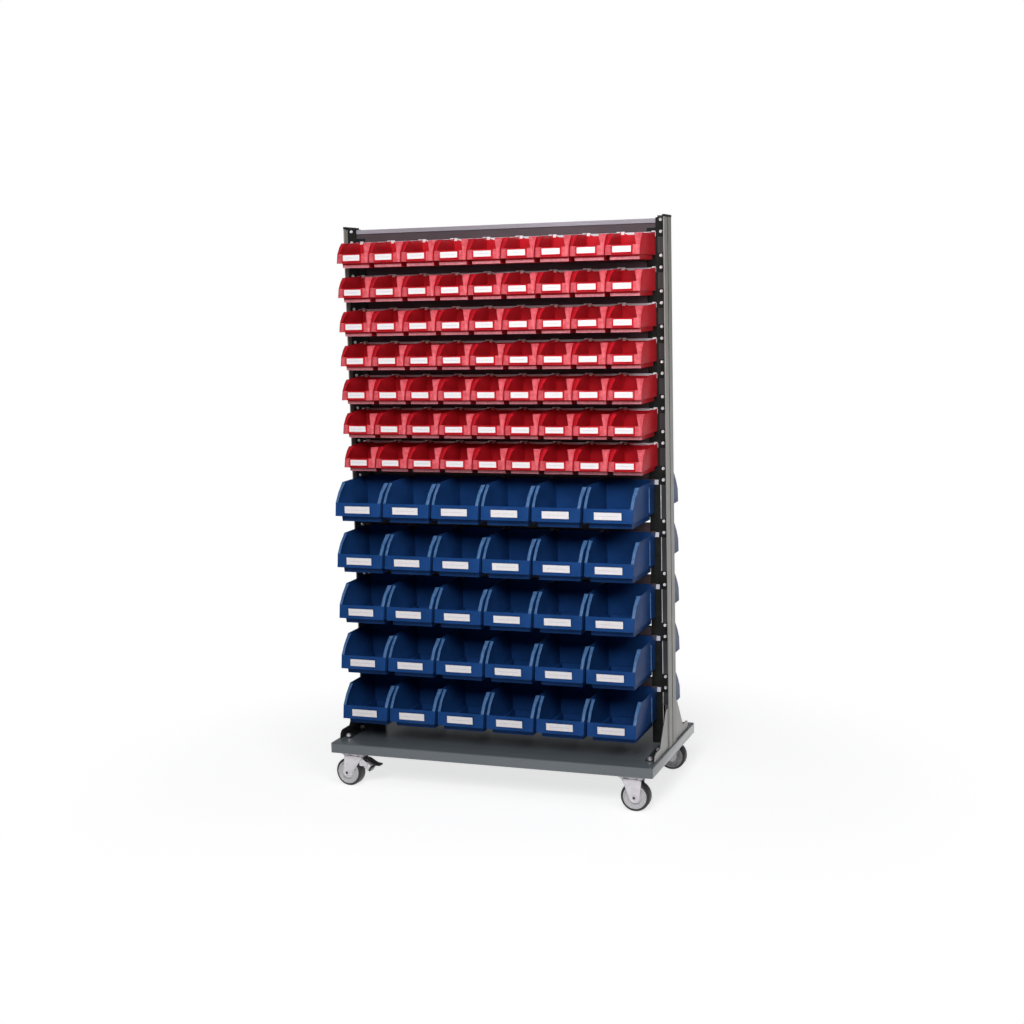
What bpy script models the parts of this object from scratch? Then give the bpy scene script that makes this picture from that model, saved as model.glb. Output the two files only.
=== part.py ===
"""Double-sided mobile bin rack: a sheet-steel tray on four swivel castors carries two
slim uprights, and twelve rails between them hold rows of open-fronted picking bins,
small ones above and large ones below, on the front and on the back.

Metres, +Z up. The origin is on the floor under the middle of the tray. The front faces -Y.
"""
import math
from collections import namedtuple

import bmesh
import bpy

# Fits and cutting allowances
TOUCH_GAP = 0.0003
RUNNING_GAP = 0.0005
OVERRUN = 0.005
SEAM = 0.0005

# Base tray: a folded pan, open side down, with a return flange for the castors
TRAY_LENGTH = 1.000
TRAY_DEPTH = 0.505
TRAY_HEIGHT = 0.030
TRAY_SHEET = 0.002
TRAY_CORNER_RADIUS = 0.006
TRAY_BEND_RADIUS = 0.003
CORNER_STEPS = 2

# Uprights: a flat web with a groove outside and two ribs inside
UPRIGHT_SETBACK = 0.004
UPRIGHT_WIDTH = 0.080
UPRIGHT_SHEET = 0.003
UPRIGHT_GROOVE_WIDTH = 0.008
UPRIGHT_GROOVE_DEPTH = 0.0015
UPRIGHT_RISE_OVER_BEAM = 0.0097
RIB_REACH = 0.023
RIB_THICKNESS = 0.003
RIB_RISE_OVER_FOOT = 0.0036
RIB_DROP_AT_TOP = 0.002

# Feet that tie the uprights to the tray
FOOT_SHEET = 0.003
FOOT_LENGTH = 0.400
FOOT_FLANGE_LENGTH = 0.370
FOOT_FLANGE_WIDTH = 0.032
FOOT_EDGE_HEIGHT = 0.024
FOOT_EDGE_RADIUS = 0.018
FOOT_RISE = 0.120
FOOT_SLOPE_LENGTH = 0.270
FOOT_TOP_LENGTH = 0.124

# Top beam, a channel open below
BEAM_HEIGHT = 0.012
BEAM_SHEET = 0.002

# Rails: a raised spine with a trough and an upright blade along each side
RAIL_SHEET = 0.002
RAIL_SPINE_WIDTH = 0.018
RAIL_SPINE_RISE = 0.025
RAIL_TROUGH_DEPTH = 0.014
RAIL_TAB_RISE = 0.040
RAIL_TAB_LENGTH = 0.0277

# Rows of bins
ROW_END_ROOM = 0.006
HOOK_PLANE = 0.018
HOOK_THICKNESS = 0.0025
HOOK_DROP = 0.008
HOOK_ROOT = 0.004
HOOK_END_INSET = 0.010
BIN_WALL = 0.0022
BIN_GAP = 0.001
LOWEST_ROW_RISE = 0.0596
BLUE_TO_RED_ROOM = 0.0282

# Small red bins
RED_ROWS = 7
RED_BINS_IN_ROW = 9
RED_ROW_SLIP = 0.006
RED_ROOM_ABOVE = 0.0217
RED_HEIGHT = 0.078
RED_DEPTH = 0.172
RED_KNEE_DEPTH = 0.167
RED_KNEE_HEIGHT = 0.040
RED_TOP_DEPTH = 0.142
RED_RIM_DROP = 0.012
RED_SIDE_TAPER = 0.0005
RED_FOOT_HEIGHT = 0.013
RED_FOOT_SIDE_INSET = 0.009
RED_FOOT_FRONT_INSET = 0.035
RED_MOUTH_HEIGHT = 0.040
RED_CHEEK_LOW_WIDTH = 0.012
RED_CHEEK_HIGH_WIDTH = 0.028

# Large blue bins
BLUE_ROWS = 5
BLUE_BINS_IN_ROW = 6
BLUE_ROW_SLIP = -0.003
BLUE_ROOM_ABOVE = 0.038
BLUE_HEIGHT = 0.115
BLUE_DEPTH = 0.230
BLUE_KNEE_DEPTH = 0.221
BLUE_KNEE_HEIGHT = 0.056
BLUE_TOP_DEPTH = 0.172
BLUE_RIM_DROP = 0.003
BLUE_SIDE_TAPER = 0.0045
BLUE_FOOT_HEIGHT = 0.0185
BLUE_FOOT_SIDE_INSET = 0.008
BLUE_FOOT_FRONT_INSET = 0.031
BLUE_MOUTH_HEIGHT = 0.060
BLUE_CHEEK_LOW_WIDTH = 0.014
BLUE_CHEEK_HIGH_WIDTH = 0.018

# Swivel castors
CASTOR_HEIGHT = 0.108
CASTOR_END_INSET = 0.0675
CASTOR_SIDE_INSET = 0.0425
BRAKED_TRAIL = 0.0235
PLAIN_TRAIL = 0.008
BRAKED_HEADING = math.radians(-5)
PLAIN_HEADING = math.pi
PLATE_WIDTH = 0.076
PLATE_THICKNESS = 0.003
PLATE_CORNER_RADIUS = 0.008
PLATE_FLANGE_MARGIN = 0.006
RACEWAY_RADIUS = 0.024
RACEWAY_HEIGHT = 0.009
KING_PIN_RADIUS = 0.005
KING_PIN_HEAD_RADIUS = 0.008
KING_PIN_HEAD_HEIGHT = 0.003
FORK_SHEET = 0.0025
FORK_CROWN_LENGTH = 0.060
FORK_NOSE_RADIUS = 0.016
FORK_BEND_DROP = 0.014
FORK_BACK_LEAN = 0.004
WHEEL_RADIUS = 0.0425
WHEEL_WIDTH = 0.032
RIM_RADIUS = 0.0345
RIM_WIDTH = 0.028
HUB_RADIUS = 0.012
DISC_THICKNESS = 0.008
AXLE_RADIUS = 0.005
TYRE_SHOULDER = 0.004
ROUND_STEPS = 20
PIN_STEPS = 12
SHOULDER_STEPS = 1

# Brake pedals on the castors of one end
BRAKE_PIN_FORWARD = 0.025
BRAKE_PIN_RADIUS = 0.003
PEDAL_BARREL_RADIUS = 0.0055
PEDAL_BARREL_ROOM = 0.001
PEDAL_LENGTH = 0.050
PEDAL_WIDTH = 0.028
PEDAL_THICKNESS = 0.004
PEDAL_SLOPE = math.radians(-24)
SHOE_LENGTH = 0.025
SHOE_THICKNESS = 0.005
SHOE_SLOPE = math.radians(262)

# Heights over the floor, from the tray up
TRAY_TOP = CASTOR_HEIGHT + TRAY_HEIGHT
LOWEST_ROW = TRAY_TOP + LOWEST_ROW_RISE
BLUE_PITCH = BLUE_HEIGHT + BLUE_ROOM_ABOVE
RED_PITCH = RED_HEIGHT + RED_ROOM_ABOVE
LOWEST_RED_ROW = LOWEST_ROW + BLUE_PITCH * (BLUE_ROWS - 1) + BLUE_HEIGHT + BLUE_TO_RED_ROOM
TOP_LIP = LOWEST_RED_ROW + RED_PITCH * (RED_ROWS - 1) + RED_HEIGHT
BEAM_BOTTOM = TOP_LIP + RAIL_SPINE_RISE + TOUCH_GAP
UPRIGHT_TOP = BEAM_BOTTOM + BEAM_HEIGHT + UPRIGHT_RISE_OVER_BEAM

# Places across the rack
UPRIGHT_OUTER = TRAY_LENGTH / 2 - UPRIGHT_SETBACK
UPRIGHT_INNER = UPRIGHT_OUTER - UPRIGHT_SHEET
SPAN_HALF = UPRIGHT_INNER - TOUCH_GAP
BLADE_OUTER = HOOK_PLANE - RUNNING_GAP
BLADE_INNER = BLADE_OUTER - RAIL_SHEET
RIB_OUTER = BLADE_INNER - TOUCH_GAP
BEAM_HALF = RIB_OUTER - RIB_THICKNESS - TOUCH_GAP
SPINE_HALF_LENGTH = UPRIGHT_INNER - RIB_REACH - RUNNING_GAP
TAB_START = SPAN_HALF - RAIL_TAB_LENGTH
ROW_LENGTH = 2 * (TAB_START - ROW_END_ROOM)

# Places in a castor, below the tray
PLATE_BOTTOM = CASTOR_HEIGHT - TOUCH_GAP - PLATE_THICKNESS
RACEWAY_BOTTOM = PLATE_BOTTOM - RACEWAY_HEIGHT
CROWN_TOP = RACEWAY_BOTTOM - TOUCH_GAP
CROWN_BOTTOM = CROWN_TOP - FORK_SHEET
LEG_INNER = WHEEL_WIDTH / 2 + FORK_SHEET
LEG_OUTER = LEG_INNER + FORK_SHEET
BRAKE_PIN_HEIGHT = CROWN_BOTTOM - PEDAL_BARREL_ROOM - PEDAL_BARREL_RADIUS

# A bin's front runs up through the (height, depth) points, from the top of its foot to its rim.
# The rim falls by its drop from back to front, and a cheek closes each side of the mouth.
BinShape = namedtuple(
    "BinShape",
    "count slip height front rim_drop side_taper foot_side_inset foot_front_inset "
    "mouth_height cheek_low_width cheek_high_width",
)

RED_BIN = BinShape(
    RED_BINS_IN_ROW, RED_ROW_SLIP, RED_HEIGHT,
    ((RED_FOOT_HEIGHT, RED_DEPTH), (RED_KNEE_HEIGHT, RED_KNEE_DEPTH), (RED_HEIGHT, RED_TOP_DEPTH)),
    RED_RIM_DROP, RED_SIDE_TAPER, RED_FOOT_SIDE_INSET, RED_FOOT_FRONT_INSET,
    RED_MOUTH_HEIGHT, RED_CHEEK_LOW_WIDTH, RED_CHEEK_HIGH_WIDTH,
)

BLUE_BIN = BinShape(
    BLUE_BINS_IN_ROW, BLUE_ROW_SLIP, BLUE_HEIGHT,
    ((BLUE_FOOT_HEIGHT, BLUE_DEPTH), (BLUE_KNEE_HEIGHT, BLUE_KNEE_DEPTH), (BLUE_HEIGHT, BLUE_TOP_DEPTH)),
    BLUE_RIM_DROP, BLUE_SIDE_TAPER, BLUE_FOOT_SIDE_INSET, BLUE_FOOT_FRONT_INSET,
    BLUE_MOUTH_HEIGHT, BLUE_CHEEK_LOW_WIDTH, BLUE_CHEEK_HIGH_WIDTH,
)


def clear_scene():
    """Start from an empty scene."""
    for old in list(bpy.data.objects):
        bpy.data.objects.remove(old)


def material(name, colour, roughness, metallic):
    """A plain surface for one kind of piece, made once and shared after that."""
    found = bpy.data.materials.get(name)
    if found:
        return found
    made = bpy.data.materials.new(name)
    made.use_nodes = True
    shader = made.node_tree.nodes["Principled BSDF"]
    shader.inputs["Base Color"].default_value = (*colour, 1)
    shader.inputs["Roughness"].default_value = roughness
    shader.inputs["Metallic"].default_value = metallic
    return made


def tray_paint():
    return material("tray_paint", (0.10, 0.12, 0.13), 0.35, 0.2)


def upright_paint():
    return material("upright_paint", (0.38, 0.38, 0.33), 0.5, 0.1)


def rail_steel():
    return material("rail_steel", (0.09, 0.08, 0.09), 0.45, 0.6)


def bright_zinc():
    return material("bright_zinc", (0.62, 0.60, 0.62), 0.3, 0.9)


def red_plastic():
    return material("red_plastic", (0.58, 0.026, 0.042), 0.35, 0)


def blue_plastic():
    return material("blue_plastic", (0.010, 0.058, 0.28), 0.35, 0)


def wheel_plastic():
    return material("wheel_plastic", (0.30, 0.30, 0.31), 0.5, 0)


def tyre_rubber():
    return material("tyre_rubber", (0.012, 0.012, 0.013), 0.7, 0)


def pedal_plastic():
    return material("pedal_plastic", (0.015, 0.015, 0.016), 0.4, 0)


def loft(bm, rings, closed=False):
    """Join rings of points in order: capped at both ends, or run back into the first one."""
    loops = [[bm.verts.new(point) for point in ring] for ring in rings]
    if closed:
        loops.append(loops[0])
    else:
        bm.faces.new(loops[0])
        bm.faces.new(loops[-1])
    for lower, upper in zip(loops, loops[1:]):
        for here in range(len(lower)):
            there = (here + 1) % len(lower)
            bm.faces.new((lower[here], lower[there], upper[there], upper[here]))


def prism_x(bm, outline, start, end):
    """A (y, z) outline run along X."""
    loft(bm, [[(x, y, z) for y, z in outline] for x in (start, end)])


def prism_y(bm, outline, start, end):
    """An (x, z) outline run along Y."""
    loft(bm, [[(x, y, z) for x, z in outline] for y in (start, end)])


def prism_z(bm, outline, start, end):
    """An (x, y) outline run along Z."""
    loft(bm, [[(x, y, z) for x, y in outline] for z in (start, end)])


def rectangle(left, right, low, high):
    return [(left, low), (right, low), (right, high), (left, high)]


def arc(centre, radius, start, end, steps):
    """Points on an arc, both ends included."""
    return [
        (centre[0] + radius * math.cos(angle), centre[1] + radius * math.sin(angle))
        for angle in (start + (end - start) * step / steps for step in range(steps + 1))
    ]


def rounded_rectangle(half_x, half_y, radius, steps):
    """A rectangle about the origin with round corners."""
    outline = []
    for corner, (side_x, side_y) in enumerate(((1, 1), (-1, 1), (-1, -1), (1, -1))):
        centre = (side_x * (half_x - radius), side_y * (half_y - radius))
        start = corner * math.pi / 2
        outline += arc(centre, radius, start, start + math.pi / 2, steps)
    return outline


def turned(bm, profile, steps, closed):
    """A (radius, height) profile turned about Z."""
    angles = [2 * math.pi * step / steps for step in range(steps)]
    rings = [[(r * math.cos(a), r * math.sin(a), z) for a in angles] for r, z in profile]
    loft(bm, rings, closed)


def pin_y(bm, x, z, radius, half_length):
    """A round pin along Y."""
    outline = arc((x, z), radius, 0, 2 * math.pi, PIN_STEPS)[:-1]
    prism_y(bm, outline, -half_length, half_length)


def as_mesh(bm, name):
    """Turn the loose geometry into a mesh whose faces all point outwards."""
    bmesh.ops.recalc_face_normals(bm, faces=bm.faces)
    mesh = bpy.data.meshes.new(name)
    bm.to_mesh(mesh)
    bm.free()
    return mesh


def combined(base, tool, operation):
    """Unite two meshes, or take the second one away from the first."""
    body = bpy.data.objects.new("body", base)
    cutter = bpy.data.objects.new("cutter", tool)
    cutter.hide_render = True
    cutter.display_type = "WIRE"
    for piece in (body, cutter):
        bpy.context.collection.objects.link(piece)
    change = body.modifiers.new("change", "BOOLEAN")
    change.operation = operation
    change.object = cutter
    change.solver = "EXACT"
    depsgraph = bpy.context.evaluated_depsgraph_get()
    result = bpy.data.meshes.new_from_object(body.evaluated_get(depsgraph))
    result.name = base.name
    for piece in (body, cutter):
        bpy.data.objects.remove(piece)
    return result


def simplified(mesh):
    """Merge the flat faces that the cuts split, so each flat area is one face again."""
    bm = bmesh.new()
    bm.from_mesh(mesh)
    bmesh.ops.dissolve_limit(bm, angle_limit=math.radians(0.05), verts=bm.verts, edges=bm.edges)
    bm.to_mesh(mesh)
    bm.free()
    return mesh


def add_piece(name, mesh, surface, parent=None, location=(0, 0, 0), turn=0, lay=0, smooth=False):
    """Place one named piece: its turn is about Z, and its lay tips it about X."""
    if surface.name not in mesh.materials:
        mesh.materials.append(surface)
    if smooth:
        mesh.shade_smooth()
        mesh.set_sharp_from_angle(angle=math.radians(35))
    piece = bpy.data.objects.new(name, mesh)
    bpy.context.collection.objects.link(piece)
    piece.parent = parent
    piece.location = location
    piece.rotation_euler = (lay, 0, turn)
    return piece


def tray_mesh():
    """Outer pan with rounded corners and a soft top edge, hollowed from below."""
    half_x = TRAY_LENGTH / 2
    half_y = TRAY_DEPTH / 2
    bm = bmesh.new()
    bend_rise = TRAY_BEND_RADIUS * (1 - math.cos(math.pi / 4))
    levels = (
        (CASTOR_HEIGHT, 0),
        (TRAY_TOP - TRAY_BEND_RADIUS, 0),
        (TRAY_TOP - bend_rise, bend_rise),
        (TRAY_TOP, TRAY_BEND_RADIUS),
    )
    rings = []
    for z, inset in levels:
        outline = rounded_rectangle(half_x - inset, half_y - inset, TRAY_CORNER_RADIUS - inset, CORNER_STEPS)
        rings.append([(x, y, z) for x, y in outline])
    loft(bm, rings)
    outer = as_mesh(bm, "base_tray")

    bm = bmesh.new()
    inner_x = half_x - TRAY_SHEET
    inner_y = half_y - TRAY_SHEET
    flange = CASTOR_SIDE_INSET + PLATE_WIDTH / 2 + PLATE_FLANGE_MARGIN
    room = rounded_rectangle(inner_x, inner_y, TRAY_CORNER_RADIUS - TRAY_SHEET, CORNER_STEPS)
    prism_z(bm, room, CASTOR_HEIGHT + TRAY_SHEET, TRAY_TOP - TRAY_SHEET)
    hollowed = combined(outer, as_mesh(bm, "tray_room"), "DIFFERENCE")

    bm = bmesh.new()
    mouth = rectangle(flange - half_x, half_x - flange, flange - half_y, half_y - flange)
    prism_z(bm, mouth, CASTOR_HEIGHT - OVERRUN, CASTOR_HEIGHT + TRAY_SHEET + OVERRUN)
    return simplified(combined(hollowed, as_mesh(bm, "tray_mouth"), "DIFFERENCE"))


def upright_mesh():
    """The right-hand upright: a grooved web, with two ribs that the rails are fixed to."""
    groove = UPRIGHT_GROOVE_WIDTH / 2
    edge = UPRIGHT_WIDTH / 2
    floor = UPRIGHT_OUTER - UPRIGHT_GROOVE_DEPTH
    web = [
        (UPRIGHT_INNER, -edge), (UPRIGHT_OUTER, -edge), (UPRIGHT_OUTER, -groove), (floor, -groove),
        (floor, groove), (UPRIGHT_OUTER, groove), (UPRIGHT_OUTER, edge), (UPRIGHT_INNER, edge),
    ]
    bm = bmesh.new()
    prism_z(bm, web, TRAY_TOP + TOUCH_GAP, UPRIGHT_TOP)
    plate = as_mesh(bm, "upright")

    bm = bmesh.new()
    rib_foot = TRAY_TOP + FOOT_RISE + RIB_RISE_OVER_FOOT
    for side in (1, -1):
        low, high = sorted((side * RIB_OUTER, side * (RIB_OUTER - RIB_THICKNESS)))
        rib = rectangle(UPRIGHT_INNER - RIB_REACH, UPRIGHT_INNER + UPRIGHT_SHEET / 4, low, high)
        prism_z(bm, rib, rib_foot, UPRIGHT_TOP - RIB_DROP_AT_TOP)
    return simplified(combined(plate, as_mesh(bm, "ribs"), "UNION"))


def foot_mesh():
    """The right-hand foot: a flange along the tray and a gusset plate up the upright's web."""
    base = TRAY_TOP + TOUCH_GAP
    corner = (FOOT_LENGTH / 2 - FOOT_EDGE_RADIUS, base + FOOT_EDGE_HEIGHT - FOOT_EDGE_RADIUS)
    right = [(FOOT_LENGTH / 2, base + SEAM)]
    right += arc(corner, FOOT_EDGE_RADIUS, 0, math.pi / 2, CORNER_STEPS + 1)
    right += [(FOOT_SLOPE_LENGTH / 2, base + FOOT_EDGE_HEIGHT), (FOOT_TOP_LENGTH / 2, base + FOOT_RISE)]
    outline = right + [(-y, z) for y, z in reversed(right)]
    bm = bmesh.new()
    prism_x(bm, outline, SPAN_HALF - FOOT_SHEET, SPAN_HALF)
    plate = as_mesh(bm, "foot")

    bm = bmesh.new()
    half = FOOT_FLANGE_LENGTH / 2
    flange = rectangle(SPAN_HALF - FOOT_FLANGE_WIDTH, SPAN_HALF - FOOT_SHEET / 2, -half, half)
    prism_z(bm, flange, base, base + FOOT_SHEET)
    return simplified(combined(plate, as_mesh(bm, "flange"), "UNION"))


def beam_mesh():
    """The top beam, a channel with its open side down."""
    inner = BEAM_HALF - BEAM_SHEET
    top = BEAM_BOTTOM + BEAM_HEIGHT
    outline = [
        (-BEAM_HALF, BEAM_BOTTOM), (-BEAM_HALF, top), (BEAM_HALF, top), (BEAM_HALF, BEAM_BOTTOM),
        (inner, BEAM_BOTTOM), (inner, top - BEAM_SHEET), (-inner, top - BEAM_SHEET), (-inner, BEAM_BOTTOM),
    ]
    bm = bmesh.new()
    prism_x(bm, outline, -SPAN_HALF, SPAN_HALF)
    return as_mesh(bm, "top_beam")


def rail_mesh():
    """A rail about its own lip height: the hat-shaped spine, and a blade with end tabs each side."""
    spine = RAIL_SPINE_WIDTH / 2
    inside = spine - RAIL_SHEET
    low = SEAM - RAIL_TROUGH_DEPTH
    join = (BLADE_OUTER + BLADE_INNER) / 2
    left = [(-inside, RAIL_SPINE_RISE - RAIL_SHEET), (-inside, low), (-join, low), (-join, low + RAIL_SHEET)]
    left += [(-spine, low + RAIL_SHEET), (-spine, RAIL_SPINE_RISE)]
    outline = left + [(-y, z) for y, z in reversed(left)]
    bm = bmesh.new()
    prism_x(bm, outline, -SPINE_HALF_LENGTH, SPINE_HALF_LENGTH)
    hat = as_mesh(bm, "rail")

    right = [(SPAN_HALF, -RAIL_TROUGH_DEPTH), (SPAN_HALF, RAIL_TAB_RISE)]
    right += [(TAB_START, RAIL_TAB_RISE), (TAB_START, 0)]
    blade = right + [(-x, z) for x, z in reversed(right)]
    bm = bmesh.new()
    for side in (1, -1):
        low, high = sorted((side * BLADE_INNER, side * BLADE_OUTER))
        prism_y(bm, blade, low, high)
    return simplified(combined(hat, as_mesh(bm, "blades"), "UNION"))


def level_at(lower, upper, z):
    """The level at height z on the straight line through two (z, half width, depth) levels."""
    share = (z - lower[0]) / (upper[0] - lower[0])
    return tuple(low + (high - low) * share for low, high in zip(lower, upper))


def outer_levels(shape, pitch):
    """(z, half width, depth) of a bin's outer walls, from the bottom of its foot to its rim."""
    rim_half = (pitch - BIN_GAP) / 2
    low_half = rim_half - shape.side_taper
    foot_height, foot_depth = shape.front[0]
    levels = [(0, low_half - shape.foot_side_inset, foot_depth - shape.foot_front_inset)]
    for z, depth in shape.front:
        share = (z - foot_height) / (shape.height - foot_height)
        levels.append((z, low_half + shape.side_taper * share, depth))
    return levels


def room_levels(levels):
    """The inside of the same walls, from one wall over the bottom to just above the rim."""
    raised = level_at(levels[1], levels[2], levels[1][0] + BIN_WALL)
    above = level_at(levels[-2], levels[-1], levels[-1][0] + OVERRUN)
    floor = (BIN_WALL, levels[0][1], levels[0][2])
    inside = [floor, raised] + levels[2:-1] + [above]
    return [(z, half - BIN_WALL, depth - BIN_WALL) for z, half, depth in inside]


def bin_rings(levels, middle, back, rim_drop):
    """Four-cornered rings of a bin around x = middle; back is its rear face before the hook plane."""
    rings = []
    for number, (z, half, depth) in enumerate(levels, 1):
        front_z = z - rim_drop if number == len(levels) else z
        corners = ((-half, back, z), (half, back, z), (half, depth, front_z), (-half, depth, front_z))
        rings.append([(middle + x, -HOOK_PLANE - d, height) for x, d, height in corners])
    return rings


def mouth_outline(shape, middle, rim_half):
    """The opening over a bin's front panel, between its cheeks, as seen from the front."""
    low = rim_half - shape.cheek_low_width
    high = rim_half - shape.cheek_high_width
    top = shape.height + OVERRUN
    floor = shape.mouth_height
    return [(middle - low, floor), (middle + low, floor), (middle + high, top), (middle - high, top)]


def hook_outline(shape):
    """Section of the hook strip: up out of the bins' backs, over the blade and down behind it."""
    tip = HOOK_THICKNESS - BLADE_INNER + RUNNING_GAP
    seat = shape.height + TOUCH_GAP
    low = shape.height - HOOK_DROP
    back = -HOOK_PLANE
    return [
        (back - BIN_WALL, shape.height - HOOK_ROOT), (back - BIN_WALL, seat + BIN_WALL),
        (tip, seat + BIN_WALL), (tip, low), (tip - HOOK_THICKNESS, low), (tip - HOOK_THICKNESS, seat),
        (back, seat), (back, shape.height - HOOK_ROOT),
    ]


def bin_row_mesh(shape, name):
    """One row of bins hung side by side on one hook strip, with the feet at z = 0."""
    pitch = ROW_LENGTH / shape.count
    levels = outer_levels(shape, pitch)
    _, rim_half, rim_depth = levels[-1]
    front = -HOOK_PLANE - levels[1][2] - OVERRUN
    behind = BIN_WALL + OVERRUN - HOOK_PLANE - rim_depth
    outer, rooms, mouths, strip = bmesh.new(), bmesh.new(), bmesh.new(), bmesh.new()
    for place in range(shape.count):
        middle = pitch * (place - (shape.count - 1) / 2)
        loft(outer, bin_rings(levels, middle, 0, shape.rim_drop))
        loft(rooms, bin_rings(room_levels(levels), middle, BIN_WALL, shape.rim_drop))
        prism_y(mouths, mouth_outline(shape, middle, rim_half), front, behind)
    reach = ROW_LENGTH / 2 - HOOK_END_INSET
    prism_x(strip, hook_outline(shape), -reach, reach)
    hollow = combined(as_mesh(outer, name), as_mesh(rooms, "rooms"), "DIFFERENCE")
    bins = combined(hollow, as_mesh(mouths, "mouths"), "DIFFERENCE")
    return simplified(combined(bins, as_mesh(strip, "hooks"), "UNION"))


def castor_plate_mesh():
    """Top plate, raceway and king pin, with the plate's underside at z = 0."""
    bm = bmesh.new()
    half = PLATE_WIDTH / 2
    prism_z(bm, rounded_rectangle(half, half, PLATE_CORNER_RADIUS, CORNER_STEPS), 0, PLATE_THICKNESS)
    plate = as_mesh(bm, "castor_plate")
    neck_end = -RACEWAY_HEIGHT - TOUCH_GAP - FORK_SHEET - TOUCH_GAP
    profile = [
        (RACEWAY_RADIUS, PLATE_THICKNESS / 2), (RACEWAY_RADIUS, -RACEWAY_HEIGHT),
        (KING_PIN_RADIUS, -RACEWAY_HEIGHT), (KING_PIN_RADIUS, neck_end),
        (KING_PIN_HEAD_RADIUS, neck_end), (KING_PIN_HEAD_RADIUS, neck_end - KING_PIN_HEAD_HEIGHT),
    ]
    bm = bmesh.new()
    turned(bm, profile, PIN_STEPS, False)
    return combined(plate, as_mesh(bm, "raceway"), "UNION")


def fork_mesh(braked):
    """Crown, two legs and the axle, about the swivel axis, with the wheel trailing towards -X."""
    trail = BRAKED_TRAIL if braked else PLAIN_TRAIL
    ahead = FORK_CROWN_LENGTH / 2
    bend = CROWN_TOP - FORK_BEND_DROP
    nose = arc((-trail, WHEEL_RADIUS), FORK_NOSE_RADIUS, math.pi, 2 * math.pi, 2 * CORNER_STEPS)
    leg = [(ahead, CROWN_TOP), (-ahead, CROWN_TOP), (-ahead - FORK_BACK_LEAN, bend)]
    leg += nose + [(ahead, bend)]
    bm = bmesh.new()
    for side in (1, -1):
        low, high = sorted((side * LEG_INNER, side * LEG_OUTER))
        prism_y(bm, leg, low, high)
    legs = as_mesh(bm, "fork")

    bm = bmesh.new()
    half = LEG_INNER + FORK_SHEET / 2
    crown = rectangle(SEAM - ahead, ahead - SEAM, -half, half)
    prism_z(bm, crown, CROWN_BOTTOM, CROWN_TOP - SEAM)
    pin_y(bm, -trail, WHEEL_RADIUS, AXLE_RADIUS, LEG_OUTER + FORK_SHEET)
    if braked:
        pin_y(bm, BRAKE_PIN_FORWARD, BRAKE_PIN_HEIGHT, BRAKE_PIN_RADIUS, LEG_OUTER + FORK_SHEET / 2)
    framed = combined(legs, as_mesh(bm, "crown"), "UNION")

    bm = bmesh.new()
    hole = KING_PIN_RADIUS + TOUCH_GAP
    turned(bm, [(hole, CROWN_BOTTOM - OVERRUN), (hole, CROWN_TOP + OVERRUN)], PIN_STEPS, False)
    return combined(framed, as_mesh(bm, "king_pin_hole"), "DIFFERENCE")


def wheel_mesh():
    """Wheel centre turned about the axle: hub, disc and rim in one."""
    rim_half = RIM_WIDTH / 2
    disc_half = DISC_THICKNESS / 2
    hub_half = LEG_INNER - RUNNING_GAP
    bore = AXLE_RADIUS + TOUCH_GAP
    half = [(bore, hub_half), (HUB_RADIUS, hub_half), (HUB_RADIUS, disc_half), (RIM_RADIUS, rim_half)]
    profile = half + [(r, -y) for r, y in reversed(half)]
    bm = bmesh.new()
    turned(bm, profile, ROUND_STEPS, True)
    return as_mesh(bm, "wheel")


def tyre_mesh():
    """Tyre with rounded shoulders, turned about the axle."""
    half = WHEEL_WIDTH / 2
    centre = (WHEEL_RADIUS - TYRE_SHOULDER, half - TYRE_SHOULDER)
    shoulder = arc(centre, TYRE_SHOULDER, math.pi / 2, 0, SHOULDER_STEPS)
    side = [(RIM_RADIUS + TOUCH_GAP, half)] + shoulder
    profile = side + [(r, -y) for r, y in reversed(side)]
    bm = bmesh.new()
    turned(bm, profile, ROUND_STEPS, True)
    return as_mesh(bm, "tyre")


def bar_outline(length, thickness, slope):
    """A flat bar that leaves the origin at a slope, in (x, z)."""
    along = (math.cos(slope), math.sin(slope))
    across = (-math.sin(slope) * thickness / 2, math.cos(slope) * thickness / 2)
    return [
        (-across[0], -across[1]), (along[0] * length - across[0], along[1] * length - across[1]),
        (along[0] * length + across[0], along[1] * length + across[1]), (across[0], across[1]),
    ]


def pedal_mesh():
    """Brake pedal about its own pin: barrel, foot plate forward and shoe back to the tyre."""
    half = PEDAL_WIDTH / 2
    bm = bmesh.new()
    pin_y(bm, 0, 0, PEDAL_BARREL_RADIUS, half)
    barrel = as_mesh(bm, "brake_pedal")
    bm = bmesh.new()
    prism_y(bm, bar_outline(PEDAL_LENGTH, PEDAL_THICKNESS, PEDAL_SLOPE), SEAM - half, half - SEAM)
    lever = combined(barrel, as_mesh(bm, "lever"), "UNION")
    bm = bmesh.new()
    prism_y(bm, bar_outline(SHOE_LENGTH, SHOE_THICKNESS, SHOE_SLOPE), 2 * SEAM - half, half - 2 * SEAM)
    lever = combined(lever, as_mesh(bm, "shoe"), "UNION")
    bm = bmesh.new()
    pin_y(bm, 0, 0, BRAKE_PIN_RADIUS + TOUCH_GAP, half + OVERRUN)
    return combined(lever, as_mesh(bm, "pedal_bore"), "DIFFERENCE")


def add_frame():
    """Tray, uprights, feet, beam: everything that the rails are fixed to."""
    add_piece("base_tray", tray_mesh(), tray_paint())
    upright = upright_mesh()
    foot = foot_mesh()
    for side, turn in (("right", 0), ("left", math.pi)):
        add_piece("upright_" + side, upright, upright_paint(), turn=turn)
        add_piece("upright_foot_" + side, foot, upright_paint(), turn=turn)
    add_piece("top_beam", beam_mesh(), upright_paint())


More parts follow.
